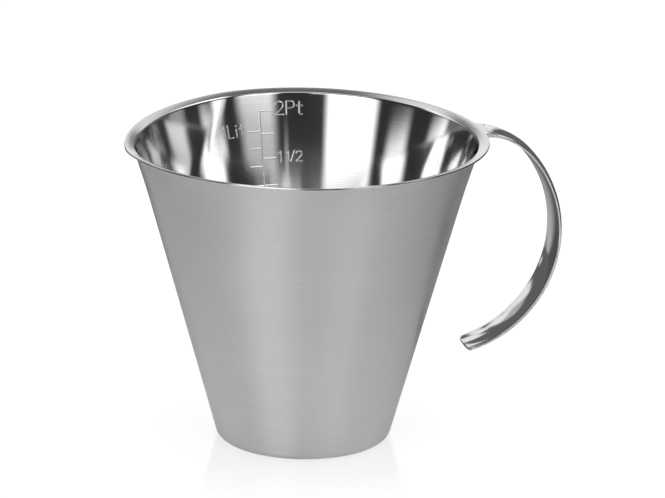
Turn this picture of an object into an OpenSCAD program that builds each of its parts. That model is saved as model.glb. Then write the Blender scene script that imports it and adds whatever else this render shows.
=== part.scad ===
// Measuring jug: a tapered jug drawn from one steel sheet, with a turned-out pouring rim,
// a scale raised on the inside wall and an open strap handle welded to the rim.
// Millimetres, +Z up. The origin is the centre of the underside. The handle points along +X,
// the pouring point along -X, and the scale is on the +Y side.

/* [Jug body] */
// Height at the highest parts of the rim
jug_h = 132; // [110:1:160]
// Outside diameter of the tapered wall where it reaches the rim
mouth_d = 146.5; // [130:0.5:170]
// Outside diameter of the tapered wall carried down to the underside
base_d = 73.3; // [60:0.1:90]
// Thickness of the steel sheet
sheet = 0.8; // [0.6:0.1:1.4]
// Outside radius where the wall turns into the floor
base_round = 3.7; // [2.5:0.1:6]

/* [Pouring rim] */
// How far the rim stands out from the wall
rim_reach = 4.1; // [3:0.1:6]
// How far the rim dips at the handle and at the pouring point
rim_dip = 1.4; // [0.6:0.1:3]
// How far the rim is drawn in on each side of the pouring point
spout_draw = 2.3; // [1.2:0.1:4]
// Angle from the pouring point to the middle of each drawn-in side
spout_spread = 40; // [34:1:46]
// How far outside the rim's own round the two sides would meet, which blunts the point
spout_blunt = 0.3; // [0.2:0.1:1]
// Depth below the rim at which the drawn-in sides fade out
spout_depth = 34; // [20:1:50]

/* [Handle strap] */
// Width of the strap
strap_w = 17.8; // [14:0.2:24]
// Thickness of the strap
strap_t = 1.2; // [1:0.1:2]
// Height of the strap's crown above its two edges
strap_crown = 1.5; // [0.8:0.05:2.5]
// Bend radius of the strap's edges over the shoulder
shoulder_r = 27.2; // [22:0.2:34]
// Angle that the strap turns over the shoulder
shoulder_turn = 46; // [36:1:60]
// Bend radius of the strap's edges along the grip
grip_r = 52; // [44:0.1:58]
// Angle of the free end, counted from straight up
grip_end = 166.5; // [140:0.5:172]
// Radius of the two corners at the free end
end_round = 2.5; // [1:0.1:5]

/* [Weld] */
// Gap between the rim and the strap, filled by the weld
weld_gap = 1; // [0.6:0.1:2]
// How far the weld reaches in under the rim
weld_leg = 2.2; // [1:0.1:3]
// How far the weld reaches below the edges of the strap
weld_foot = 0.4; // [0.2:0.1:1]

/* [Scale] */
// Place of the scale line round the wall, counted from the handle
scale_angle = 92; // [80:1:100]
// Width of the scale line and its ticks
mark_w = 0.8; // [0.6:0.1:1.2]
// Height of the scale line above the inside wall
line_rise = 0.4; // [0.35:0.05:0.6]
// Height of a tick above the inside wall
tick_rise = 0.3; // [0.2:0.05:0.3]
// Length of a tick
tick_l = 5.6; // [4:0.2:8]
// Clear height kept between the middle of the highest tick and the rim
tick_clear = 4; // [3:0.5:8]
// Contents at the highest litre tick, in litres
litre_full = 1; // [0.6:0.1:1]
// Contents between two litre ticks, in litres
litre_step = 0.1; // [0.1, 0.2]
// Contents at the highest pint tick, in pints
pint_full = 2; // [1:0.25:2]
// Contents between two pint ticks, in pints
pint_step = 0.25; // [0.25, 0.5]
// How much lower the pint ticks are set than their contents would stand
pint_drop = 0.8; // [0:0.1:1.5]

/* [Hidden] */
$fn = 180;
// Steps along each rounded turn from wall to floor
round_steps = 10;
// Sides of the wide, shallow cylinder that shapes the top of the rim
dip_sides = 720;
// Plain overlap for cuts
over = 2;
// Stretch at the start of the strap that is trimmed off to follow the rim
root_trim = 0.8;
// Cubic millimetres in a litre, and litres in an imperial pint
litre = 1000000;
pint = 0.568261;

// The wall: how much it widens per millimetre of height
lean = (mouth_d - base_d) / 2 / jug_h;
lean_angle = atan(lean);
turn_x = base_d / 2 - base_round * (1 - sin(lean_angle)) / cos(lean_angle);
function wall_r(z, inset) = base_d / 2 + lean * z - inset / cos(lean_angle);

// The rim: its outer edge, and the radius of the shallow curve that makes it dip
rim_r = mouth_d / 2 + rim_reach;
dip_r = (rim_r * rim_r + rim_dip * rim_dip) / (2 * rim_dip);
rim_low = jug_h - rim_dip;

// The pouring point: each side is a wider round whose centre is moved away from it,
// so that it is drawn in at its middle and meets the other side just outside the rim's round
side_in = rim_r - spout_draw;
side_meet = rim_r + spout_blunt;
side_shift = (side_meet * side_meet - side_in * side_in)
    / (2 * (side_in - side_meet * cos(spout_spread)));
side_lean = lean - spout_draw / spout_depth;
side_slant = sqrt(1 + side_lean * side_lean);
function side_r(z, inset) =
    mouth_d / 2 - spout_draw + side_shift + side_lean * (z - jug_h) - inset * side_slant;

// The strap: where it is cut to follow the rim, its crown's radius, how far below its edges
// the section is searched for, and the centre of its bend over the shoulder
root_r = rim_r + weld_gap;
root_angle = asin(strap_w / 2 / root_r);
crown_r = (strap_w * strap_w / 4 + strap_crown * strap_crown) / (2 * strap_crown);
section_low = strap_t + over;
shoulder_x = root_r * cos(root_angle) - root_trim;
shoulder_z = rim_low - strap_crown - shoulder_r;
grip_turn = grip_end - shoulder_turn;

// The weld: its whole depth below the top of the rim
weld_depth = strap_crown + strap_t + weld_foot;

// The scale: height of the surface of a given number of litres
floor_r = wall_r(sheet, sheet);
function fill_z(litres) =
    sheet + (pow(3 * lean * litres * litre / PI + pow(floor_r, 3), 1 / 3) - floor_r) / lean;
function arc_angle(length, z) = length / wall_r(z, sheet) * 180 / PI;
// Contents at each tick, in litres, as far as the tick stays clear of the rim
tick_top = rim_low - tick_clear;
function contents(step, full) =
    [for (i = [1 : round(full / step)]) if (fill_z(i * step) < tick_top) i * step];
litre_ticks = contents(litre_step, litre_full);
pint_ticks = contents(pint_step * pint, pint_full * pint);

// Solid bounded by the tapered wall and the rounded floor, moved in by inset
module tapered_solid(inset) {
    r = base_round - inset;
    turn = [for (i = [0 : round_steps])
        let (a = -90 + (90 - lean_angle) * i / round_steps)
        [turn_x + r * cos(a), base_round + r * sin(a)]];
    top = jug_h + over;
    rotate_extrude()
        polygon(concat([[0, inset]], turn, [[wall_r(top, inset), top], [0, top]]));
}

// Puts a round about the centre of one drawn-in side
module about_side(way) {
    translate([side_shift * cos(spout_spread), way * side_shift * sin(spout_spread), 0])
        children();
}

// Wide cone that draws in one side of the pouring point
module spout_side(way, inset) {
    top = jug_h + over;
    about_side(way)
        cylinder(h = top, r1 = side_r(0, inset), r2 = side_r(top, inset));
}

module drawn_solid(inset) {
    intersection() {
        tapered_solid(inset);
        spout_side(1, inset);
        spout_side(-1, inset);
    }
}

// Everything below the dipping surface of the rim, lowered by drop
module under_rim(drop) {
    translate([0, 0, jug_h - dip_r])
        rotate([90, 0, 0])
            cylinder(h = 2 * (rim_r + over), r = dip_r - drop, center = true, $fn = dip_sides);
}

// Outline of the rim as an upright block
module rim_block() {
    low = rim_low - 2 * sheet;
    tall = jug_h + over - low;
    side_rim_r = side_r(jug_h, 0) + rim_reach;
    translate([0, 0, low])
        intersection() {
            cylinder(h = tall, r = rim_r);
            about_side(1)
                cylinder(h = tall, r = side_rim_r);
            about_side(-1)
                cylinder(h = tall, r = side_rim_r);
        }
}

module rim_plate() {
    difference() {
        rim_block();
        under_rim(sheet);
    }
}

// Band raised by rise on the inside wall, between two heights and from one angle to another
module wall_mark(rise, z1, z2, from, to) {
    root = sheet / 2;
    crest = sheet + rise;
    rotate([0, 0, from])
        rotate_extrude(angle = to - from)
            polygon([
                [wall_r(z1, root), z1],
                [wall_r(z2, root), z2],
                [wall_r(z2, crest), z2],
                [wall_r(z1, crest), z1]
            ]);
}

// One tick at height z, running one way from the scale line
module tick(z, way) {
    far = scale_angle + way * arc_angle(tick_l, z);
    start = min(scale_angle, far);
    end = max(scale_angle, far);
    wall_mark(tick_rise, z - mark_w / 2, z + mark_w / 2, start, end);
}

module scale_marks() {
    litre_heights = [for (litres = litre_ticks) fill_z(litres)];
    pint_heights = [for (litres = pint_ticks) fill_z(litres) - pint_drop];
    all_heights = concat(litre_heights, pint_heights);
    low = min(all_heights) - mark_w;
    high = max(all_heights) + mark_w;
    half = arc_angle(mark_w / 2, high);
    wall_mark(line_rise, low, high, scale_angle - half, scale_angle + half);
    for (z = litre_heights)
        tick(z, 1);
    for (z = pint_heights)
        tick(z, -1);
}

module jug_body() {
    color("silver") {
        difference() {
            intersection() {
                union() {
                    drawn_solid(0);
                    rim_plate();
                }
                under_rim(0);
            }
            drawn_solid(sheet);
        }
        scale_marks();
    }
}

// Cross-section of the strap, with its edges at radius r from the bend centre
module strap_section(r) {
    translate([r, 0])
        intersection() {
            translate([strap_crown - crown_r, 0])
                difference() {
                    circle(r = crown_r);
                    circle(r = crown_r - strap_t);
                }
            translate([-section_low, -strap_w / 2])
                square([section_low + strap_crown + over, strap_w]);
        }
}

// Places a part of the strap about the shoulder's bend centre, with X out through the line
// where the shoulder turns into the grip
module at_shoulder() {
    translate([shoulder_x, 0, shoulder_z])
        rotate([0, shoulder_turn - 90, 0])
            children();
}

// Places a part of the strap about the grip's bend centre
module at_grip() {
    at_shoulder()
        translate([shoulder_r - grip_r, 0, 0])
            children();
}

// What is cut from the free end to round its corners
module end_corners() {
    deep = section_low + strap_crown + over;
    for (side = [0, 1])
        mirror([0, side, 0])
            translate([grip_r - section_low, strap_w / 2 - end_round, 0])
                difference() {
                    translate([0, 0, -over])
                        cube([deep, end_round + over, end_round + over]);
                    translate([-over, 0, end_round])
                        rotate([0, 90, 0])
                            cylinder(h = deep + 2 * over, r = end_round);
                }
}

module handle_strap() {
    color("gainsboro")
        difference() {
            union() {
                at_shoulder()
                    rotate([90, 0, 0])
                        rotate_extrude(angle = shoulder_turn)
                            strap_section(shoulder_r);
                at_grip()
                    rotate([-90, 0, 0])
                        rotate_extrude(angle = grip_turn)
                            strap_section(grip_r);
            }
            cylinder(h = jug_h + over, r = root_r);
            at_grip()
                rotate([0, grip_turn, 0])
                    end_corners();
        }
}

// Weld that fills the gap between rim and strap, flush on top, with a fillet under the rim
module rim_weld() {
    under = rim_low - sheet;
    foot = rim_low - weld_depth;
    color("lightgray")
        rotate([0, 0, -root_angle])
            rotate_extrude(angle = 2 * root_angle)
                polygon([
                    [root_r, foot],
                    [root_r, rim_low],
                    [rim_r, rim_low],
                    [rim_r, under],
                    [rim_r - weld_leg, under],
                    [rim_r, foot]
                ]);
}

jug_body();
handle_strap();
rim_weld();
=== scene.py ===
# Looks of the measuring jug: brushed steel body, raised scale, strap handle and weld,
# on a pale floor in soft studio light. Sizes are in millimetres until a mesh is made.
import math

import bpy
from mathutils import Matrix, Vector


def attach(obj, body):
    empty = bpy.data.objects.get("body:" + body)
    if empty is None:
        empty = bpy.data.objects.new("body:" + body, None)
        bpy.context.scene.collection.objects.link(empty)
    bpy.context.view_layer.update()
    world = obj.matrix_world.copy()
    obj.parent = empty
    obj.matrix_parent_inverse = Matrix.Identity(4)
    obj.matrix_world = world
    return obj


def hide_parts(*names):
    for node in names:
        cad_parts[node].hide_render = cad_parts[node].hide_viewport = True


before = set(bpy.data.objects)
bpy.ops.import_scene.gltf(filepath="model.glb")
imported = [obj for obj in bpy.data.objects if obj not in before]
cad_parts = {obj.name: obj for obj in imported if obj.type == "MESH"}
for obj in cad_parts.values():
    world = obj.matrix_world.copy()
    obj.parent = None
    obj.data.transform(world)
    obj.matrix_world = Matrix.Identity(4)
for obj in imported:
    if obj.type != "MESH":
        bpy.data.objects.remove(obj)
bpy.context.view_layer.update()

MM = 0.001
# Length along a profile, in millimetres, that is one unit of the brush map
BRUSH_UNIT = 100.0

# Jug body
JUG_H = 132.0
MOUTH_D = 146.5
BASE_D = 73.3
SHEET = 0.8
BASE_ROUND = 3.7
RIM_REACH = 4.1
RIM_DIP = 1.4
SPOUT_DRAW = 2.3
SPOUT_SPREAD = math.radians(40.0)
SPOUT_BLUNT = 0.3
SPOUT_DEPTH = 34.0
# Softness of the folds at the pouring point
FOLD_SOFT = 0.25
# The rim's lip rises outwards, less towards its edge, and rolls into the wall.
# The wall flares towards it.
LIP_EDGE = math.radians(10.0)
LIP_ROOT = math.radians(18.0)
LIP_BEND = 2.8
EDGE_BREAK = 0.15
ROLL_R = 1.3
FLARE_H = 28.0
FLARE_OUT = 1.13
# Radii of the rows on the underside and on the floor inside
PLATE_ROWS = (6.0, 14.0, 22.0, 28.0, 32.0)

# Handle strap: its crown is flatter at the root, and its skin lies just under the solid's
STRAP_W = 17.8
STRAP_T = 1.2
STRAP_CROWN = 1.5
ROOT_CROWN = 0.35
STRAP_SKIN = 0.02
SHOULDER_R = 27.2
SHOULDER_TURN = math.radians(46.0)
GRIP_R = 52.0
GRIP_END = math.radians(166.5)
END_ROUND = 2.5
END_THIN = 0.93
ROOT_TRIM = 0.8
EDGE_R = 0.5
STRAP_STEPS = 22

# Weld
WELD_GAP = 1.0
WELD_LEG = 2.2
WELD_FOOT = 0.4
# How far its ground top laps over the lip, and along the strap in the middle and more at the sides
WELD_BLEND = 1.8
WELD_LAP = 0.8
WELD_SIDE_LAP = 9.0
# How far the ground top stands over the lip and the strap
LIP_COVER = 0.015
STRAP_COVER = 0.012
RIPPLE = 0.07
RIPPLES = 8

# Scale
SCALE_ANGLE = math.radians(92.0)
MARK_W = 0.8
LINE_RISE = 0.22
TICK_RISE = 0.2
TICK_L = 5.6
PINT_DROP = 0.8
FIGURE_W = 0.66
FIGURE_RISE = 0.22
# Depth to which a raised stroke is sunk into the wall
STROKE_SUNK = 0.25
# Gap between letters and longest step along a stroke, on a letter height of one
LETTER_GAP = 0.12
STROKE_STEP = 0.12
# Cubic millimetres in a litre, litres in a pint, size and number of the steps
LITRE = 1.0e6
PINT = 0.568261
LITRE_STEP = 0.1
LITRE_TICKS = 10
PINT_STEP = 0.25
PINT_TICKS = 8

# Values that follow from the ones above
LEAN = (MOUTH_D - BASE_D) / 2 / JUG_H
LEAN_ANGLE = math.atan(LEAN)
TURN_X = BASE_D / 2 - BASE_ROUND * (1 - math.sin(LEAN_ANGLE)) / math.cos(LEAN_ANGLE)
RIM_R = MOUTH_D / 2 + RIM_REACH
DIP_R = (RIM_R ** 2 + RIM_DIP ** 2) / (2 * RIM_DIP)
RIM_LOW = JUG_H - RIM_DIP
SIDE_IN = RIM_R - SPOUT_DRAW
SIDE_MEET = RIM_R + SPOUT_BLUNT
SIDE_SHIFT = (SIDE_MEET ** 2 - SIDE_IN ** 2) / (2 * (SIDE_IN - SIDE_MEET * math.cos(SPOUT_SPREAD)))
SIDE_LEAN = LEAN - SPOUT_DRAW / SPOUT_DEPTH
ROOT_R = RIM_R + WELD_GAP
ROOT_ANGLE = math.asin(STRAP_W / 2 / ROOT_R)
CROWN_R = (STRAP_W ** 2 / 4 + STRAP_CROWN ** 2) / (2 * STRAP_CROWN)
SHOULDER_X = ROOT_R * math.cos(ROOT_ANGLE) - ROOT_TRIM
SHOULDER_Z = RIM_LOW - STRAP_CROWN - SHOULDER_R
GRIP_X = SHOULDER_X + (SHOULDER_R - GRIP_R) * math.sin(SHOULDER_TURN)
GRIP_Z = SHOULDER_Z + (SHOULDER_R - GRIP_R) * math.cos(SHOULDER_TURN)


def cone_r(z, inset):
    return BASE_D / 2 + LEAN * z - inset / math.cos(LEAN_ANGLE)


def side_r(z, inset):
    slant = math.sqrt(1 + SIDE_LEAN ** 2)
    return MOUTH_D / 2 - SPOUT_DRAW + SIDE_SHIFT + SIDE_LEAN * (z - JUG_H) - inset * slant


def ray_to_side(theta, way, radius):
    """Distance from the jug's axis, along theta, to the round of one drawn-in side."""
    cx = SIDE_SHIFT * math.cos(SPOUT_SPREAD)
    cy = way * SIDE_SHIFT * math.sin(SPOUT_SPREAD)
    along = cx * math.cos(theta) + cy * math.sin(theta)
    return along + math.sqrt(radius ** 2 - SIDE_SHIFT ** 2 + along ** 2)


def soft_min(a, b, soft):
    h = max(soft - abs(a - b), 0.0) / soft
    return min(a, b) - h * h * soft / 4


def wall_radius(theta, z, inset):
    sides = soft_min(ray_to_side(theta, 1, side_r(z, inset)),
                     ray_to_side(theta, -1, side_r(z, inset)), FOLD_SOFT)
    flare = FLARE_OUT * (max(z - (JUG_H - FLARE_H), 0.0) / FLARE_H) ** 2
    return soft_min(cone_r(z, inset), sides, FOLD_SOFT) + flare


def rim_edge(theta):
    radius = side_r(JUG_H, 0) + RIM_REACH
    sides = soft_min(ray_to_side(theta, 1, radius), ray_to_side(theta, -1, radius), FOLD_SOFT)
    return soft_min(RIM_R, sides, FOLD_SOFT)


def rim_top(x):
    return JUG_H - DIP_R + math.sqrt(DIP_R ** 2 - x ** 2)


def fill_z(litres):
    floor_r = cone_r(SHEET, SHEET)
    volume = 3 * LEAN * litres * LITRE / math.pi + floor_r ** 3
    return SHEET + (volume ** (1 / 3) - floor_r) / LEAN


def arc(cx, cz, r, start, end, steps):
    """Points of an arc in the profile plane, both ends included."""
    turn = [start + (end - start) * i / steps for i in range(steps + 1)]
    return [(cx + r * math.cos(a), cz + r * math.sin(a)) for a in turn]


def lip_z(theta, r, drop):
    """Height of the rim's lip at a radius: the rim's top at its edge, lower further in."""
    edge = rim_edge(theta)
    flat, steep = math.tan(LIP_EDGE), math.tan(LIP_ROOT)
    inward = edge - r
    bent = min(inward, LIP_BEND)
    fall = flat * inward + (steep - flat) * (bent * bent / (2 * LIP_BEND) + inward - bent)
    return rim_top(edge * math.cos(theta)) - fall - drop


def wall_corner(theta, inset, drop):
    """Where a wall surface would meet the lip's surface, and the wall's slope angle there."""
    z, rounds, span = RIM_LOW, 8, 3.0
    for _ in range(rounds):
        z = lip_z(theta, wall_radius(theta, z, inset), drop)
    r = wall_radius(theta, z, inset)
    slope = math.atan((r - wall_radius(theta, z - span, inset)) / span)
    return r, z, slope


def roll(theta, inset, drop, radius, steps):
    """Arc that joins a wall surface to the lip's surface, from the wall upwards."""
    r, z, slope = wall_corner(theta, inset, drop)
    turn = math.pi / 2 - slope - LIP_ROOT
    reach = radius * math.tan(turn / 2)
    start_r, start_z = r - reach * math.sin(slope), z - reach * math.cos(slope)
    cx, cz = start_r + radius * math.cos(slope), start_z - radius * math.sin(slope)
    return arc(cx, cz, radius, math.pi - slope, math.pi / 2 + LIP_ROOT, steps)


def jug_profile(theta):
    """Closed profile of the jug at one angle, from the underside's centre to the floor's centre,
    as points in millimetres with the number of the finish that starts there."""
    points = []
    satin, rim, bright = range(3)
    # The rows of both walls lie closer together towards the rim
    wall_rows, wall_gather = 48, 0.8
    inside_rows, inside_gather = 56, 1.4
    under_rows, top_rows = 4, 8

    def add(finish, pts):
        points.extend((r, z, finish) for r, z in pts)

    down = -math.pi / 2
    # Underside and the turn into the wall
    add(satin, [(r, 0.0) for r in PLATE_ROWS])
    add(satin, arc(TURN_X, BASE_ROUND, BASE_ROUND, down, -LEAN_ANGLE, 14))
    # Outer wall
    turn = roll(theta, 0.0, SHEET, ROLL_R - SHEET, 8)
    start_z = BASE_ROUND * (1 - math.sin(LEAN_ANGLE))
    for i in range(1, wall_rows):
        z = start_z + (turn[0][1] - start_z) * (i / wall_rows) ** wall_gather
        add(satin, [(wall_radius(theta, z, 0.0), z)])
    # Turn under the rim, underside of the lip
    add(satin, turn)
    lip = rim_edge(theta) - SHEET * math.sin(LIP_EDGE)
    for k in range(1, under_rows):
        r = turn[-1][0] + (lip - turn[-1][0]) * k / under_rows
        add(rim, [(r, lip_z(theta, r, SHEET))])
    # Cut edge of the lip with broken corners, its top face
    out_r, out_z = math.cos(LIP_EDGE), math.sin(LIP_EDGE)
    for deep, start in ((SHEET - EDGE_BREAK, down), (EDGE_BREAK, 0.0)):
        cx = lip - EDGE_BREAK * out_r + deep * out_z
        cz = lip_z(theta, lip, 0.0) - EDGE_BREAK * out_z - deep * out_r
        first = start + LIP_EDGE
        add(rim, arc(cx, cz, EDGE_BREAK, first, first + math.pi / 2, 5))
    turn = roll(theta, SHEET, 0.0, ROLL_R, 16)[::-1]
    for k in range(1, top_rows):
        r = lip + (turn[0][0] - lip) * k / top_rows
        add(rim, [(r, lip_z(theta, r, 0.0))])
    # Roll into the inside wall
    add(bright, turn)
    # Inside wall, turn into the floor, floor
    turn_r = BASE_ROUND - SHEET
    end_z = BASE_ROUND - turn_r * math.sin(LEAN_ANGLE)
    for i in range(1, inside_rows):
        z = turn[-1][1] + (end_z - turn[-1][1]) * (i / inside_rows) ** inside_gather
        add(bright, [(wall_radius(theta, z, SHEET), z)])
    add(bright, arc(TURN_X, BASE_ROUND, turn_r, -LEAN_ANGLE, down, 12))
    add(bright, [(r, SHEET) for r in reversed(PLATE_ROWS)])
    return points


def jug_angles():
    """Angles round the jug: whole degrees, and quarters within 12 degrees of the pouring point."""
    turns = {float(i) for i in range(360)}
    turns |= {180 - 12 + i / 4 for i in range(24 * 4 + 1)}
    return [math.radians(t) for t in sorted(turns)]


def mesh_object(name, verts, faces, materials, finishes=None, uvs=None):
    mesh = bpy.data.meshes.new(name)
    mesh.from_pydata([Vector(v) * MM for v in verts], [], faces)
    for m in materials:
        mesh.materials.append(m)
    if finishes:
        mesh.polygons.foreach_set("material_index", finishes)
    mesh.polygons.foreach_set("use_smooth", [True] * len(mesh.polygons))
    if uvs:
        layer = mesh.uv_layers.new(name="brush_map")
        flat = [c for face in uvs for corner in face for c in corner]
        layer.data.foreach_set("uv", flat)
    mesh.update()
    obj = bpy.data.objects.new(name, mesh)
    bpy.context.scene.collection.objects.link(obj)
    return obj


def make_jug_shell(materials):
    angles = jug_angles()
    profiles = [jug_profile(t) for t in angles]
    n, count = len(profiles[0]), len(angles)
    verts, faces, finishes, uvs = [], [], [], []
    for t, profile in zip(angles, profiles):
        verts.extend((r * math.cos(t), r * math.sin(t), z) for r, z, _ in profile)
    lengths = [0.0]
    for (r1, z1, _), (r2, z2, _) in zip(profiles[0], profiles[0][1:]):
        lengths.append(lengths[-1] + math.hypot(r2 - r1, z2 - z1) / BRUSH_UNIT)
    for i in range(count):
        j = (i + 1) % count
        u1 = angles[i] / math.tau
        u2 = angles[j] / math.tau if j else 1.0
        for k in range(n - 1):
            faces.append((i * n + k, j * n + k, j * n + k + 1, i * n + k + 1))
            finishes.append(profiles[0][k][2])
            v1, v2 = lengths[k], lengths[k + 1]
            uvs.append(((u1, v1), (u2, v1), (u2, v2), (u1, v2)))
    for pole_z, k, flip in ((0.0, 0, False), (SHEET, n - 1, True)):
        pole = len(verts)
        verts.append((0.0, 0.0, pole_z))
        edge = lengths[k]
        to_pole = PLATE_ROWS[0] / BRUSH_UNIT
        beyond = edge + (to_pole if flip else -to_pole)
        for i in range(count):
            j = (i + 1) % count
            u1 = angles[i] / math.tau
            u2 = angles[j] / math.tau if j else 1.0
            a, b = i * n + k, j * n + k
            mid = ((u1 + u2) / 2, beyond)
            if flip:
                faces.append((a, b, pole))
                uvs.append(((u1, edge), (u2, edge), mid))
            else:
                faces.append((b, a, pole))
                uvs.append(((u2, edge), (u1, edge), mid))
            finishes.append(profiles[0][k][2])
    return mesh_object("jug_shell", verts, faces, materials, finishes, uvs)


def strap_outer(y, crown):
    """Offset of the strap's outer face at y across it; crown is the share of the full crown."""
    return STRAP_CROWN - STRAP_SKIN - crown * (CROWN_R - math.sqrt(CROWN_R ** 2 - y ** 2))


def strap_offset(y, crown):
    """Middle of the strap's thickness over its edges, and half that thickness, at y across it."""
    outer = strap_outer(y, crown)
    dip = CROWN_R - STRAP_T - math.sqrt((CROWN_R - STRAP_T) ** 2 - y ** 2)
    inner = STRAP_CROWN - STRAP_T - crown * dip
    return (outer + inner) / 2, (outer - inner) / 2


def strap_section(half_w, thin, crown):
    """One closed section of the strap: (y, offset) pairs, outer face first."""
    turns = 8
    flat = half_w - EDGE_R
    loop = []

    def put(y, share):
        mid, half = strap_offset(y, crown)
        loop.append((y, mid + share * half * thin))

    for i in range(STRAP_STEPS + 1):
        put(-flat + 2 * flat * i / STRAP_STEPS, 1.0)
    for i in range(1, turns):
        a = math.pi / 2 - math.pi * i / turns
        put(flat + EDGE_R * math.cos(a), math.sin(a))
    for i in range(STRAP_STEPS + 1):
        put(flat - 2 * flat * i / STRAP_STEPS, -1.0)
    for i in range(1, turns):
        a = -math.pi / 2 - math.pi * i / turns
        put(-flat + EDGE_R * math.cos(a), math.sin(a))
    return loop


def strap_stations():
    """Stations along the strap: bend centre, radius, angle, half width, thickness share and
    crown share."""
    half_w = STRAP_W / 2
    shoulder_steps, grip_steps, end_steps = 28, 60, 16
    shoulder = (SHOULDER_X, SHOULDER_Z, SHOULDER_R)
    grip = (GRIP_X, GRIP_Z, GRIP_R)
    rows = []
    for i in range(1, shoulder_steps + 1):
        t = i / shoulder_steps
        crown = ROOT_CROWN + (1 - ROOT_CROWN) * t ** 2 * (3 - 2 * t)
        rows.append((*shoulder, SHOULDER_TURN * t, half_w, 1.0, crown))
    end_turn = END_ROUND / GRIP_R
    for i in range(1, grip_steps + 1):
        a = SHOULDER_TURN + (GRIP_END - end_turn - SHOULDER_TURN) * i / grip_steps
        rows.append((*grip, a, half_w, 1.0, 1.0))
    # The free end is rounded in plan and thins out to its edge
    for i in range(1, end_steps + 1):
        left = END_ROUND * (1 - math.sin(math.pi / 2 * i / end_steps))
        inset = math.sqrt(max(END_ROUND ** 2 - (END_ROUND - left) ** 2, 0.0))
        thin = 1.0 if left > EDGE_R else math.sqrt(1 - (1 - left / EDGE_R) ** 2 * END_THIN)
        rows.append((*grip, GRIP_END - left / GRIP_R, half_w - END_ROUND + inset, thin, 1.0))
    return rows


def make_handle_strap(material):
    verts, faces, uvs = [], [], []
    root = strap_section(STRAP_W / 2, 1.0, ROOT_CROWN)
    n = len(root)
    # The root follows the round gap that the weld fills
    first = []
    for y, off in root:
        r = SHOULDER_R + off
        a = math.asin((math.sqrt(ROOT_R ** 2 - y ** 2) - SHOULDER_X) / r)
        first.append((SHOULDER_X + r * math.sin(a), y, SHOULDER_Z + r * math.cos(a)))
    rings = [first]
    clear = ROOT_R + 0.05
    for cx, cz, bend, a, half_w, thin, crown in strap_stations():
        ring = []
        for y, off in strap_section(half_w, thin, crown):
            r = bend + off
            ring.append((cx + r * math.sin(a), y, cz + r * math.cos(a)))
        # The first bend stations give way to the curved root
        if min(p[0] for p in ring) > clear or ring[0][2] < SHOULDER_Z:
            rings.append(ring)
    middle = STRAP_STEPS // 2
    lengths = [0.0]
    for a, b in zip(rings, rings[1:]):
        lengths.append(lengths[-1] + math.dist(a[middle], b[middle]) / BRUSH_UNIT)
    for ring in rings:
        verts.extend(ring)
    for i in range(len(rings) - 1):
        for k in range(n):
            m = (k + 1) % n
            faces.append((i * n + k, (i + 1) * n + k, (i + 1) * n + m, i * n + m))
            u1, u2 = k / n, (k + 1) / n
            v1, v2 = lengths[i], lengths[i + 1]
            uvs.append(((u1, v1), (u1, v2), (u2, v2), (u2, v1)))
    last = (len(rings) - 1) * n
    faces.append(tuple(range(n)))
    uvs.append(tuple((k / n, 0.0) for k in range(n)))
    faces.append(tuple(last + k for k in reversed(range(n))))
    uvs.append(tuple((k / n, lengths[-1]) for k in reversed(range(n))))
    return mesh_object("handle_strap_bent", verts, faces, [material], uvs=uvs)


def strap_back(angle, off, r):
    """Height of the strap's outer face near its root, r from the jug's axis."""
    x = r * math.cos(angle) - SHOULDER_X
    return SHOULDER_Z + math.sqrt((SHOULDER_R + off) ** 2 - x * x)


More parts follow.
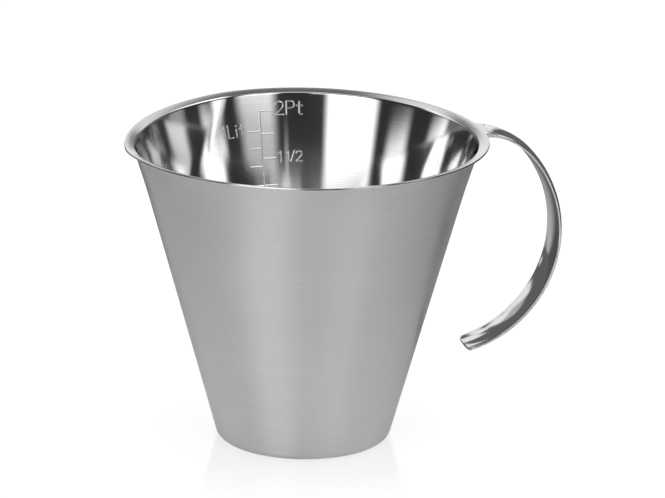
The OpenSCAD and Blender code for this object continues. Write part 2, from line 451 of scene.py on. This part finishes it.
def make_rim_weld(material):
    """Bead between rim and strap: flush and ground on top, rippled below."""
    steps, top_rows = 56, 6
    verts, faces = [], []
    under = RIM_LOW - SHEET
    for i in range(steps + 1):
        # From one side of the strap to the other, closer together at the sides
        share = math.sin(math.pi * (i / steps - 0.5))
        a = ROOT_ANGLE * share
        y = ROOT_R * math.sin(a)
        outer = strap_outer(y, ROOT_CROWN)
        strap_top = RIM_LOW - STRAP_CROWN + outer
        taper = math.sqrt(max(1 - share ** 6, 0.05))
        ripple = RIPPLE * math.cos(RIPPLES * math.pi * (share + 1))
        # Towards the sides it thins out with the strap's rounded edges
        out = max(abs(y) - (STRAP_W / 2 - EDGE_R), 0.0) / EDGE_R
        thin = STRAP_T / 2 * (1 - math.sqrt(max(1 - out * out, 0.0)))
        low = strap_top - STRAP_T - (0.6 * WELD_FOOT + ripple) * taper + thin
        leg = WELD_LEG * taper
        # The ground top runs from the strap's back over the rim's edge
        blend = WELD_BLEND * math.sqrt(max(1 - share ** 20, 0.1))
        reach = WELD_LAP + WELD_SIDE_LAP * (RIM_LOW - strap_top) / STRAP_CROWN
        first, last = RIM_R - 0.3, ROOT_R + 0.7 * reach
        edge_z = lip_z(a, first, -LIP_COVER)
        pts = [(ROOT_R + reach, strap_back(a, outer, ROOT_R + reach) - 0.1 - thin)]
        for k in range(top_rows + 1):
            t = 1 - k / top_rows
            r = first + (last - first) * t
            back = strap_back(a, outer, r) + STRAP_COVER - thin
            soft = t * t * (3 - 2 * t)
            pts.append((r, max(back, edge_z + (back - edge_z) * soft)))
        # It dips under the lip's top face
        for along, drop in ((0.5, -STRAP_COVER), (0.8, 0.008), (1.0, 0.03)):
            pts.append((RIM_R - along * blend, lip_z(a, RIM_R - along * blend, drop)))
        # Inside the lip, then along the fillet below to the strap
        pts.append((RIM_R - 0.4, RIM_LOW - SHEET / 2))
        pts.append((RIM_R - leg, under + 0.02))
        for along, drop in ((0.55, 0.28), (0.15, 0.75)):
            pts.append((RIM_R - along * leg, under - drop + ripple))
        pts.append((RIM_R + 0.35 * WELD_GAP, (under + low) / 2 - 0.35 + ripple))
        pts.append((ROOT_R + 0.02, low))
        section = len(pts)
        verts.extend((r * math.cos(a), r * math.sin(a), z) for r, z in pts)
    for i in range(steps):
        row, after = i * section, (i + 1) * section
        for k in range(section):
            m = (k + 1) % section
            faces.append((row + k, after + k, after + m, row + m))
    faces.append(tuple(range(section)))
    faces.append(tuple(steps * section + k for k in reversed(range(section))))
    return mesh_object("rim_weld_bead", verts, faces, [material])


def wall_point(angle, z):
    r = wall_radius(angle, z, SHEET)
    return Vector((r * math.cos(angle), r * math.sin(angle), z))


def stroke_ring(centre, along, normal, width, rise, sunk):
    """One ring round a raised stroke: round on top, sunk a little into the wall."""
    across = along.cross(normal).normalized()
    ring, count = [], 12
    for i in range(count):
        a = math.tau * i / count
        lift = math.sin(a) * (rise if math.sin(a) > 0 else sunk)
        ring.append(centre + across * (math.cos(a) * width / 2) + normal * lift)
    return ring


def add_stroke(verts, faces, path, normals, width, rise):
    """Closed raised stroke along a path, with rounded ends."""
    rings = []
    count = len(path)

    def direction(i):
        a, b = path[max(i - 1, 0)], path[min(i + 1, count - 1)]
        return (b - a).normalized()

    for share in (0.35, 0.8):
        back = width / 2 * math.sqrt(1 - share ** 2)
        rings.append(stroke_ring(path[0] - direction(0) * back, direction(0), normals[0],
                                 width * share, rise * share, STROKE_SUNK * share))
    for i in range(count):
        rings.append(stroke_ring(path[i], direction(i), normals[i], width, rise, STROKE_SUNK))
    for share in (0.8, 0.35):
        back = width / 2 * math.sqrt(1 - share ** 2)
        rings.append(stroke_ring(path[-1] + direction(count - 1) * back, direction(count - 1),
                                 normals[-1], width * share, rise * share,
                                 STROKE_SUNK * share))
    base = len(verts)
    n = len(rings[0])
    for ring in rings:
        verts.extend(tuple(p) for p in ring)
    for i in range(len(rings) - 1):
        for k in range(n):
            m = (k + 1) % n
            a, b = base + i * n, base + (i + 1) * n
            faces.append((a + k, b + k, b + m, a + m))
    faces.append(tuple(base + k for k in range(n)))
    last = base + (len(rings) - 1) * n
    faces.append(tuple(last + k for k in reversed(range(n))))


def bow(cx, cy, rx, ry, start, end, steps=10):
    turn = [math.radians(start + (end - start) * i / steps) for i in range(steps + 1)]
    return [(cx + rx * math.cos(a), cy + ry * math.sin(a)) for a in turn]


# Plain stroke letters: width and strokes, on a height of one
LETTERS = {
    "1": (0.26, [[(0.0, 0.78), (0.14, 0.98), (0.14, 0.0)]]),
    "2": (0.62, [bow(0.30, 0.70, 0.27, 0.29, 170, -35) + [(0.03, 0.0), (0.60, 0.0)]]),
    "P": (0.60, [[(0.05, 0.0), (0.05, 1.0)],
                 [(0.05, 1.0), (0.30, 1.0)] + bow(0.32, 0.74, 0.25, 0.26, 90, -90)
                 + [(0.30, 0.48), (0.05, 0.48)]]),
    "t": (0.42, [[(0.18, 0.95), (0.18, 0.16)] + bow(0.32, 0.14, 0.14, 0.13, 180, 290, 6),
                 [(0.0, 0.66), (0.38, 0.66)]]),
    "L": (0.50, [[(0.05, 1.0), (0.05, 0.0), (0.45, 0.0)]]),
    "i": (0.20, [[(0.08, 0.62), (0.08, 0.0)], [(0.08, 0.92), (0.08, 0.86)]]),
    "/": (0.38, [[(0.0, -0.04), (0.36, 1.04)]]),
    " ": (0.26, []),
}


def even_steps(points, step):
    """The same polyline with points no further apart than step."""
    out = [points[0]]
    for a, b in zip(points, points[1:]):
        parts = max(1, math.ceil(math.dist(a, b) / step))
        out.extend((a[0] + (b[0] - a[0]) * i / parts, a[1] + (b[1] - a[1]) * i / parts)
                   for i in range(1, parts + 1))
    return out


def wall_normal(angle):
    c, s = math.cos(LEAN_ANGLE), math.sin(LEAN_ANGLE)
    return Vector((-math.cos(angle) * c, -math.sin(angle) * c, s))


# Labels of the scale: text, angle of the left end, angle of the right end, lower edge, height
LABELS = [
    ("2Pt", 86.4, 76.4, 121.7, 5.5),
    ("1Lit", 107.0, 98.0, 113.6, 5.3),
    ("1", 85.7, 84.0, 101.6, 5.0),
    ("1/2", 82.4, 76.6, 102.2, 4.3),
    ("1", 85.8, 83.6, 77.5, 5.0),
    ("1/2", 85.4, 77.0, 50.0, 4.8),
]


def make_scale_figures(material):
    verts, faces = [], []
    for text, left, right, low, height in LABELS:
        total = sum(LETTERS[c][0] + LETTER_GAP for c in text) - LETTER_GAP
        pen = 0.0
        for c in text:
            width, strokes = LETTERS[c]
            for stroke in strokes:
                path, normals = [], []
                for u, v in even_steps(stroke, STROKE_STEP):
                    angle = math.radians(left + (right - left) * (pen + u) / total)
                    path.append(wall_point(angle, low + v * height))
                    normals.append(wall_normal(angle))
                add_stroke(verts, faces, path, normals, FIGURE_W, FIGURE_RISE)
            pen += width + LETTER_GAP
    return mesh_object("scale_figures", verts, faces, [material])


def make_scale_line(material):
    verts, faces = [], []
    low = fill_z(LITRE_STEP) - MARK_W
    high = fill_z(PINT_STEP * PINT_TICKS * PINT) - PINT_DROP + MARK_W / 4
    steps = 40
    path = [wall_point(SCALE_ANGLE, low + (high - low) * i / steps) for i in range(steps + 1)]
    add_stroke(verts, faces, path, [wall_normal(SCALE_ANGLE)] * len(path), MARK_W, LINE_RISE)
    return mesh_object("scale_line", verts, faces, [material])


def tick_bar():
    """One straight tick along Y from the origin, with its crest along -X."""
    verts, faces, steps = [], [], 8
    path = [Vector((0.0, TICK_L * i / steps, 0.0)) for i in range(steps + 1)]
    normals = [Vector((-1.0, 0.0, 0.0))] * len(path)
    add_stroke(verts, faces, path, normals, MARK_W, TICK_RISE)
    return mesh_object("tick_bar", verts, faces, [])


def plug(tree, value, socket):
    """Set a socket to a plain number, or link another socket to it."""
    if isinstance(value, (int, float)):
        socket.default_value = value
    else:
        tree.links.new(value, socket)


def math_node(tree, operation, *values):
    node = tree.nodes.new("ShaderNodeMath")
    node.operation = operation
    for value, socket in zip(values, node.inputs):
        plug(tree, value, socket)
    return node.outputs[0]


def product(tree, first, *others):
    for value in others:
        first = math_node(tree, "MULTIPLY", first, value)
    return first


def range_node(tree, value, low, high, at_low=0.0, at_high=1.0, smooth=False):
    """Goes from at_low to at_high while the value goes from low to high, and stays there."""
    node = tree.nodes.new("ShaderNodeMapRange")
    if smooth:
        node.interpolation_type = "SMOOTHSTEP"
    settings = (value, low, high, at_low, at_high)
    for name, setting in zip(("Value", "From Min", "From Max", "To Min", "To Max"), settings):
        plug(tree, setting, node.inputs[name])
    return node.outputs[0]


def vector_node(tree, x, y, z):
    node = tree.nodes.new("ShaderNodeCombineXYZ")
    for value, socket in zip((x, y, z), node.inputs):
        plug(tree, value, socket)
    return node.outputs[0]


def split_node(tree, vector):
    node = tree.nodes.new("ShaderNodeSeparateXYZ")
    tree.links.new(vector, node.inputs[0])
    return node.outputs


def length_node(tree, vector):
    node = tree.nodes.new("ShaderNodeVectorMath")
    node.operation = "LENGTH"
    tree.links.new(vector, node.inputs[0])
    return node.outputs["Value"]


def dot_node(tree, vector, direction):
    node = tree.nodes.new("ShaderNodeVectorMath")
    node.operation = "DOT_PRODUCT"
    tree.links.new(vector, node.inputs[0])
    node.inputs[1].default_value = direction
    return node.outputs["Value"]


def ticks_rule():
    """Geometry rule of a row of ticks: each one at the height of one more step of contents."""
    tree = bpy.data.node_groups.new("ticks_by_contents", "GeometryNodeTree")
    face = tree.interface
    face.new_socket("Geometry", in_out="OUTPUT", socket_type="NodeSocketGeometry")
    face.new_socket("Bar", in_out="INPUT", socket_type="NodeSocketObject")
    face.new_socket("Count", in_out="INPUT", socket_type="NodeSocketInt")
    for name in ("Step Volume", "Lean", "Floor Radius", "Floor Height", "Drop", "Angle", "Side",
                 "Flare Start", "Flare Height", "Flare Out"):
        face.new_socket(name, in_out="INPUT", socket_type="NodeSocketFloat")
    face.new_socket("Finish", in_out="INPUT", socket_type="NodeSocketMaterial")
    nodes, links = tree.nodes, tree.links
    given = nodes.new("NodeGroupInput").outputs
    end = nodes.new("NodeGroupOutput")

    def calc(operation, *values):
        return math_node(tree, operation, *values)

    # Height of each tick, from the contents below it in the cone
    index = nodes.new("GeometryNodeInputIndex").outputs[0]
    contents = product(tree, calc("ADD", index, 1.0), given["Step Volume"])
    cone = product(tree, contents, 3 / math.pi, given["Lean"])
    radius = calc("POWER", calc("ADD", cone, calc("POWER", given["Floor Radius"], 3.0)), 1 / 3)
    rise = calc("DIVIDE", calc("SUBTRACT", radius, given["Floor Radius"]), given["Lean"])
    height = calc("SUBTRACT", calc("ADD", rise, given["Floor Height"]), given["Drop"])
    # Wall radius there, with the flare near the rim
    cone_wall = calc("SUBTRACT", radius, product(tree, given["Drop"], given["Lean"]))
    past_start = calc("MAXIMUM", calc("SUBTRACT", height, given["Flare Start"]), 0.0)
    share = calc("DIVIDE", past_start, given["Flare Height"])
    flare = product(tree, calc("POWER", share, 2.0), given["Flare Out"])
    wall = calc("ADD", cone_wall, flare)
    cos_angle, sin_angle = calc("COSINE", given["Angle"]), calc("SINE", given["Angle"])
    place = vector_node(tree, product(tree, wall, cos_angle), product(tree, wall, sin_angle),
                        height)
    points = nodes.new("GeometryNodePoints")
    links.new(given["Count"], points.inputs["Count"])
    links.new(place, points.inputs["Position"])
    bar = nodes.new("GeometryNodeObjectInfo")
    links.new(given["Bar"], bar.inputs["Object"])
    spread = nodes.new("GeometryNodeInstanceOnPoints")
    links.new(points.outputs[0], spread.inputs["Points"])
    links.new(bar.outputs["Geometry"], spread.inputs["Instance"])
    links.new(vector_node(tree, 0.0, LEAN_ANGLE, given["Angle"]), spread.inputs["Rotation"])
    links.new(vector_node(tree, 1.0, given["Side"], 1.0), spread.inputs["Scale"])
    real = nodes.new("GeometryNodeRealizeInstances")
    links.new(spread.outputs[0], real.inputs[0])
    # Each straight bar is bent round the jug's axis, so that it lies on the wall along its length
    x, y, z = split_node(tree, nodes.new("GeometryNodeInputPosition").outputs[0])
    outwards = calc("ADD", product(tree, x, cos_angle), product(tree, y, sin_angle))
    aside = calc("SUBTRACT", product(tree, y, cos_angle), product(tree, x, sin_angle))
    bearing = calc("ADD", given["Angle"], calc("DIVIDE", aside, outwards))
    bent = vector_node(tree, product(tree, outwards, calc("COSINE", bearing)),
                       product(tree, outwards, calc("SINE", bearing)), z)
    bend = nodes.new("GeometryNodeSetPosition")
    links.new(real.outputs[0], bend.inputs["Geometry"])
    links.new(bent, bend.inputs["Position"])
    paint = nodes.new("GeometryNodeSetMaterial")
    links.new(bend.outputs[0], paint.inputs["Geometry"])
    links.new(given["Finish"], paint.inputs["Material"])
    links.new(paint.outputs[0], end.inputs[0])
    return tree


def make_ticks(name, rule, bar, count, step_litres, drop, side, material):
    holder = bpy.data.objects.new(name + "_rule", bpy.data.meshes.new(name + "_rule"))
    bpy.context.scene.collection.objects.link(holder)
    mod = holder.modifiers.new("ticks", "NODES")
    mod.node_group = rule
    ids = {s.name: s.identifier for s in rule.interface.items_tree if s.in_out == "INPUT"}
    values = {
        "Bar": bar,
        "Count": count,
        "Step Volume": step_litres * MM,
        "Lean": LEAN,
        "Floor Radius": cone_r(SHEET, SHEET) * MM,
        "Floor Height": SHEET * MM,
        "Drop": drop * MM,
        "Angle": SCALE_ANGLE,
        "Side": side,
        "Flare Start": (JUG_H - FLARE_H) * MM,
        "Flare Height": FLARE_H * MM,
        "Flare Out": FLARE_OUT * MM,
        "Finish": material,
    }
    for key, value in values.items():
        mod[ids[key]] = value
    graph = bpy.context.evaluated_depsgraph_get()
    mesh = bpy.data.meshes.new_from_object(holder.evaluated_get(graph), depsgraph=graph)
    mesh.name = name
    bpy.data.objects.remove(holder)
    # Mirrored bars come out inside out
    if side < 0:
        mesh.flip_normals()
    obj = bpy.data.objects.new(name, mesh)
    bpy.context.scene.collection.objects.link(obj)
    return obj


# Finishes: colour, roughness, stretch of the reflections, scale of the brush lines, their depth,
# unevenness of the polish, and whether the reflections follow the piece's brush map
FINISHES = {
    "jug_satin": ((0.64, 0.64, 0.645), 0.42, 0.85, 1500.0, 0.001, 0.02, True),
    "rim_polish": ((0.70, 0.70, 0.70), 0.20, 0.6, 1500.0, 0.002, 0.02, True),
    "inside_polish": ((0.85, 0.85, 0.85), 0.10, 0.8, 1400.0, 0.005, 0.015, True),
    "strap_polish": ((0.72, 0.72, 0.72), 0.10, 0.4, 1500.0, 0.001, 0.015, True),
    "weld_ground": ((0.70, 0.70, 0.70), 0.20, 0.0, 1800.0, 0.004, 0.03, False),
    "mark_steel": ((0.90, 0.90, 0.90), 0.17, 0.0, 2000.0, 0.002, 0.02, False),
}
# Scale of the brush lines round the jug, scale of the uneven polish, tone between and on the lines
ROUND_SCALE = 22.0
CLOUD_SCALE = 26.0
LINE_TONES = (0.955, 1.03)


def brushed_steel(name, colour, rough, stretch, line_scale, line_depth, smudge, mapped):
    """Steel with fine lines that run round the jug's axis, and faint uneven polish."""
    mat = bpy.data.materials.new(name)
    mat.use_nodes = True
    tree = mat.node_tree
    nodes, links = tree.nodes, tree.links
    nodes.clear()
    out = nodes.new("ShaderNodeOutputMaterial")
    steel = nodes.new("ShaderNodeBsdfPrincipled")
    links.new(steel.outputs[0], out.inputs[0])
    steel.inputs["Metallic"].default_value = 1.0
    steel.inputs["Anisotropic"].default_value = stretch
    coords = nodes.new("ShaderNodeTexCoord").outputs["Object"]
    x, y, z = split_node(tree, coords)

    def noise(vector, scale, detail):
        node = nodes.new("ShaderNodeTexNoise")
        node.inputs["Scale"].default_value = scale
        node.inputs["Detail"].default_value = detail
        links.new(vector, node.inputs["Vector"])
        return node.outputs["Fac"]

    # Along the profile of a turned piece, height plus radius changes steadily
    along = math_node(tree, "ADD", length_node(tree, vector_node(tree, x, y, 0.0)), z)
    brush = vector_node(tree, product(tree, x, ROUND_SCALE), product(tree, y, ROUND_SCALE),
                        product(tree, along, line_scale))
    grain = noise(brush, 1.0, 3.0)
    tone = nodes.new("ShaderNodeMix")
    tone.data_type = "RGBA"
    links.new(range_node(tree, grain, 0.25, 0.75), tone.inputs["Factor"])
    for socket, share in zip("AB", LINE_TONES):
        tone.inputs[socket].default_value = (*[min(c * share, 1.0) for c in colour], 1.0)
    links.new(tone.outputs["Result"], steel.inputs["Base Color"])
    cloud = noise(coords, CLOUD_SCALE, 4.0)
    uneven = range_node(tree, cloud, 0.3, 0.7, rough - smudge, rough + smudge)
    links.new(uneven, steel.inputs["Roughness"])
    bump = nodes.new("ShaderNodeBump")
    bump.inputs["Strength"].default_value = 1.0
    bump.inputs["Distance"].default_value = line_depth * MM
    links.new(grain, bump.inputs["Height"])
    links.new(bump.outputs[0], steel.inputs["Normal"])
    if mapped:
        steel.inputs["Anisotropic Rotation"].default_value = 0.25
        tangent = nodes.new("ShaderNodeTangent")
        tangent.direction_type = "UV_MAP"
        tangent.uv_map = "brush_map"
        links.new(tangent.outputs[0], steel.inputs["Tangent"])
    return mat


# Floor to the eye: size, gap below the jug, share of light it shows, its own glow, gloss
FLOOR_SIZE = 2.6
FLOOR_GAP = 0.0002
FLOOR_SHADE = 0.12
FLOOR_GLOW = 0.92
FLOOR_GLOSS = 0.12
# These change over a distance: its start and end in metres, then the shares there
MIRROR_FADE = (0.03, 0.11, 0.2, 0.0)
# Floor in the steel: pale, with painted light and shade in its colour: a painted pool of light,
# brightest in front on the left, painted light at the jug's foot, a painted shadow behind the jug
# but not to its right; darker a good way off
PAINTED_LIGHT_POOL_WAY, PAINTED_LIGHT_POOL = (0.5, 0.866, 0.0), (-0.18, 0.26, 0.73, 0.33)
PAINTED_FOOT_LIGHT = (0.05, 0.15, 1.36, 1.0)
PAINTED_SHADOW_WAY, PAINTED_SHADOW = (0.75, 0.66, 0.0), (0.05, 0.21, 1.0, 0.2)
SHADOW_FREE_RIGHT = (0.05, 0.14)
FAR_DARKENING = (0.32, 0.44)
# Only straight behind on the left does the pale ground go on
WEDGE_WAYS, WEDGE = ((0.62, 0.78, 0.0), (-0.85, 0.53, 0.0)), (-0.05, 0.12, 0.15, 1.2)


def mix_shader(tree, share, first, second):
    node = tree.nodes.new("ShaderNodeMixShader")
    for value, socket in zip((share, first, second), node.inputs):
        tree.links.new(value, socket)
    return node.outputs[0]


def make_floor():
    """Pale floor: white to the eye, with the jug's soft shadow and a faint mirror image by it."""
    bpy.ops.mesh.primitive_plane_add(size=FLOOR_SIZE, location=(0, 0, -FLOOR_GAP))
    floor = bpy.context.object
    floor.name = "floor"
    mat = bpy.data.materials.new("floor_white")
    mat.use_nodes = True
    tree = mat.node_tree
    nodes, links = tree.nodes, tree.links
    nodes.clear()
    place = nodes.new("ShaderNodeTexCoord").outputs["Object"]
    away = length_node(tree, place)
    # To the eye
    shade = nodes.new("ShaderNodeBsdfDiffuse")
    shade.inputs["Color"].default_value = (FLOOR_SHADE, FLOOR_SHADE, FLOOR_SHADE, 1.0)
    glow = nodes.new("ShaderNodeEmission")
    glow.inputs["Strength"].default_value = FLOOR_GLOW
    pale = nodes.new("ShaderNodeAddShader")
    links.new(shade.outputs[0], pale.inputs[0])
    links.new(glow.outputs[0], pale.inputs[1])
    gloss = nodes.new("ShaderNodeBsdfGlossy")
    gloss.inputs["Roughness"].default_value = FLOOR_GLOSS
    near = range_node(tree, away, *MIRROR_FADE)
    seen = mix_shader(tree, near, pale.outputs[0], gloss.outputs[0])
    # In the steel: a diffuse floor whose colour holds painted light and shade
    # Painted light: a pool of light in the floor colour, brightest in front on the left
    painted_light_pool = range_node(tree, dot_node(tree, place, PAINTED_LIGHT_POOL_WAY), *PAINTED_LIGHT_POOL)
    # Painted light: the floor colour is brighter at the jug's foot
    painted_foot_light = range_node(tree, away, *PAINTED_FOOT_LIGHT, smooth=True)
    # Painted shadow: the floor colour darkens behind the jug, but not to its right
    painted_shadow_behind = range_node(tree, dot_node(tree, place, PAINTED_SHADOW_WAY), *PAINTED_SHADOW, smooth=True)
    beside = range_node(tree, split_node(tree, place)[0], *SHADOW_FREE_RIGHT, smooth=True)
    ground = math_node(tree, "MAXIMUM", painted_shadow_behind, beside)
    wedge = math_node(tree, "MINIMUM", *[dot_node(tree, place, way) for way in WEDGE_WAYS])
    # The floor colour turns darker a good way off, except in the wedge behind on the left
    far_darkening = range_node(tree, away, *FAR_DARKENING, 1.0, range_node(tree, wedge, *WEDGE))
    # Its colour is painted light and shade: the pool of light, the light at the foot, the shadow
    # behind
    painted_light_floor = nodes.new("ShaderNodeBsdfDiffuse")
    links.new(product(tree, painted_light_pool, painted_foot_light, ground, far_darkening), painted_light_floor.inputs["Color"])
    eye = nodes.new("ShaderNodeLightPath").outputs["Is Camera Ray"]
    out = nodes.new("ShaderNodeOutputMaterial")
    links.new(mix_shader(tree, eye, painted_light_floor.outputs[0], seen), out.inputs[0])
    floor.data.materials.append(mat)


# Soft boxes and pale walls of the studio as the steel mirrors them: name, first and last bearing
# (degrees, 0 in front along -Y, growing towards +X) and their softness, lowest elevation and its
# softness, highest elevation and its softness, brightness
STUDIO = [
    ("left_box", -65.0, -29.5, 4.0, -4.0, 1.0, 50.0, 3.0, 1.7),
    ("left_box_top", -52.0, -18.0, 3.0, 33.5, 2.0, 47.0, 4.0, 2.0),
    ("right_box", 8.0, 34.5, 4.4, 18.0, 4.0, 29.5, 2.0, 0.95),
    ("right_box_top", 7.5, 36.0, 3.8, 29.0, 1.0, 54.5, 3.0, 1.95),
    ("right_box_skirt", 7.0, 32.0, 4.4, 3.0, 2.8, 20.0, 2.0, 0.53),
    ("right_box_foot", 13.0, 36.0, 3.0, -4.0, 1.0, 5.0, 1.5, 1.4),
    ("low_right_box", 45.5, 53.0, 2.7, 5.0, 1.6, 13.8, 1.6, 1.2),
    ("low_right_box_mid", 51.0, 61.0, 2.7, 4.0, 1.4, 12.8, 2.0, 1.5),
    ("low_right_box_far", 55.0, 70.0, 3.0, 2.0, 1.5, 7.6, 2.0, 1.15),
    ("low_left_box", -91.5, -76.0, 3.9, 6.0, 1.9, 12.0, 4.7, 1.8),
    ("low_left_far_box", -125.3, -109.7, 3.5, 4.0, 1.5, 8.2, 3.0, 1.6),
    ("right_strip", 83.2, 96.0, 3.5, -4.0, 1.0, 9.5, 1.5, 0.32),
    ("high_right_wall", 62.0, 132.0, 5.5, 38.0, 5.0, 60.0, 5.0, 1.5),
    ("high_left_wall", -142.0, -115.0, 5.0, 19.0, 3.0, 44.0, 3.0, 1.05),
    ("high_back_left", -157.5, -138.0, 2.5, 33.5, 3.5, 49.5, 1.5, 1.1),
    ("high_back_mid", -170.0, -156.0, 2.0, 43.0, 2.0, 60.0, 3.0, 1.05),
    ("high_back", 172.0, 191.0, 2.0, 34.5, 2.0, 50.0, 2.0, 1.05),
    ("back_left_half", -159.0, -130.0, 3.0, 21.0, 4.5, 40.0, 3.0, 0.55),
    ("back_wall", 158.0, 175.5, 1.5, -4.0, 1.0, 37.0, 10.0, 1.0),
    ("back_wall_side", 143.0, 159.0, 2.0, 22.0, 3.5, 37.0, 10.0, 1.0),
    ("back_right_half", 118.0, 145.0, 4.0, 16.0, 4.0, 42.0, 5.0, 0.4),
    ("thin_strip", -1.8, 1.0, 0.9, -2.0, 1.0, 16.0, 4.0, 0.55),
    ("middle_glow", -27.0, -3.0, 2.0, -4.0, 1.0, 15.2, 1.5, 0.1),
    ("overhead", -190.0, 190.0, 4.0, 67.0, 5.0, 95.0, 1.0, 0.6),
    ("back_haze", 100.0, 240.0, 6.0, -4.0, 1.0, 60.0, 10.0, 0.14),
]
STUDIO_DARK = 0.03
# How much more of this light falls on the floor than the steel mirrors
FLOOR_GAIN = 2.45


def make_studio():
    world = bpy.data.worlds.new("studio")
    bpy.context.scene.world = world
    world.use_nodes = True
    world.cycles.sampling_method = "NONE"
    tree = world.node_tree
    nodes, links = tree.nodes, tree.links
    nodes.clear()

    def calc(operation, *values):
        return math_node(tree, operation, *values)

    def step(value, edge, soft):
        return range_node(tree, value, edge - soft, edge + soft, smooth=True)

    x, y, z = split_node(tree, nodes.new("ShaderNodeTexCoord").outputs["Generated"])
    bearing = calc("DEGREES", calc("ARCTAN2", x, calc("MULTIPLY", y, -1.0)))
    height = calc("DEGREES", calc("ARCSINE", z))
    mirrored = STUDIO_DARK
    for _, first, last, soft, low, low_soft, high, high_soft, bright in STUDIO:
        turn = calc("WRAP", calc("SUBTRACT", bearing, (first + last) / 2), 180.0, -180.0)
        beside = step(calc("ABSOLUTE", turn), (last - first) / 2, soft)
        band = calc("SUBTRACT", step(height, low, low_soft), step(height, high, high_soft))
        box = product(tree, calc("SUBTRACT", 1.0, beside), band, bright)
        mirrored = calc("MAXIMUM", mirrored, box)
    # White to the eye, the studio in the steel, more of it on the floor
    ray = nodes.new("ShaderNodeLightPath").outputs
    gain = calc("ADD", 1.0, calc("MULTIPLY", ray["Is Diffuse Ray"], FLOOR_GAIN - 1.0))
    lit = product(tree, mirrored, gain, calc("SUBTRACT", 1.0, ray["Is Camera Ray"]))
    back = nodes.new("ShaderNodeBackground")
    back.inputs["Color"].default_value = (1.0, 1.0, 1.0, 1.0)
    links.new(calc("ADD", ray["Is Camera Ray"], lit), back.inputs["Strength"])
    out = nodes.new("ShaderNodeOutputWorld")
    links.new(back.outputs[0], out.inputs[0])


# Camera: bearing, elevation and roll; where the jug's middle lies from it, in millimetres to the
# right, down and ahead; focal length and picture width in pixels, sensor width in millimetres
CAMERA_TURN = (math.radians(-15.18), math.radians(17.374), math.radians(0.682))
CAMERA_TO_JUG = (-11.86, 15.48, 2124.4)
FOCAL_PX = 5000.0
PICTURE_PX = 665.0
SENSOR_W = 36.0


def make_camera():
    """Long lens at the photograph's viewing angle."""
    bearing, height, tilt = CAMERA_TURN
    right, down, depth = CAMERA_TO_JUG
    turn = Matrix.Rotation(bearing, 3, "Z")
    ahead = turn @ Vector((0, math.cos(height), -math.sin(height)))
    above = Vector((0, math.sin(height), math.cos(height)))
    side = Vector((1, 0, 0))
    x_axis = turn @ (side * math.cos(tilt) + above * math.sin(tilt))
    y_axis = turn @ (above * math.cos(tilt) - side * math.sin(tilt))
    middle = Vector((0, 0, JUG_H / 2))
    place = middle - (x_axis * right - y_axis * down + ahead * depth)
    data = bpy.data.cameras.new("camera")
    data.sensor_fit = "HORIZONTAL"
    data.sensor_width = SENSOR_W
    data.lens = FOCAL_PX / PICTURE_PX * SENSOR_W
    data.clip_start = 0.1
    data.clip_end = 20.0
    cam = bpy.data.objects.new("camera", data)
    bpy.context.scene.collection.objects.link(cam)
    pose = Matrix((x_axis, y_axis, -ahead)).transposed().to_4x4()
    pose.translation = place * MM
    cam.matrix_world = pose
    bpy.context.scene.camera = cam


def finish_piece(piece, node):
    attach(piece, "root")
    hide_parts(node)


def build():
    make_camera()
    make_studio()
    make_floor()
    steel = {name: brushed_steel(name, *values) for name, values in FINISHES.items()}
    mark = steel["mark_steel"]
    shell = make_jug_shell([steel[name] for name in ("jug_satin", "rim_polish", "inside_polish")])
    line = make_scale_line(mark)
    bar = tick_bar()
    rule = ticks_rule()
    litres = make_ticks("litre_ticks", rule, bar, LITRE_TICKS, LITRE_STEP, 0.0, 1.0, mark)
    pints = make_ticks("pint_ticks", rule, bar, PINT_TICKS, PINT_STEP * PINT, PINT_DROP, -1.0, mark)
    bpy.data.objects.remove(bar)
    for piece in (shell, line, litres, pints, make_scale_figures(mark)):
        finish_piece(piece, "jug_body")
    finish_piece(make_handle_strap(steel["strap_polish"]), "handle_strap")
    finish_piece(make_rim_weld(steel["weld_ground"]), "rim_weld")


build()
bpy.context.scene.view_settings.view_transform = "Standard"
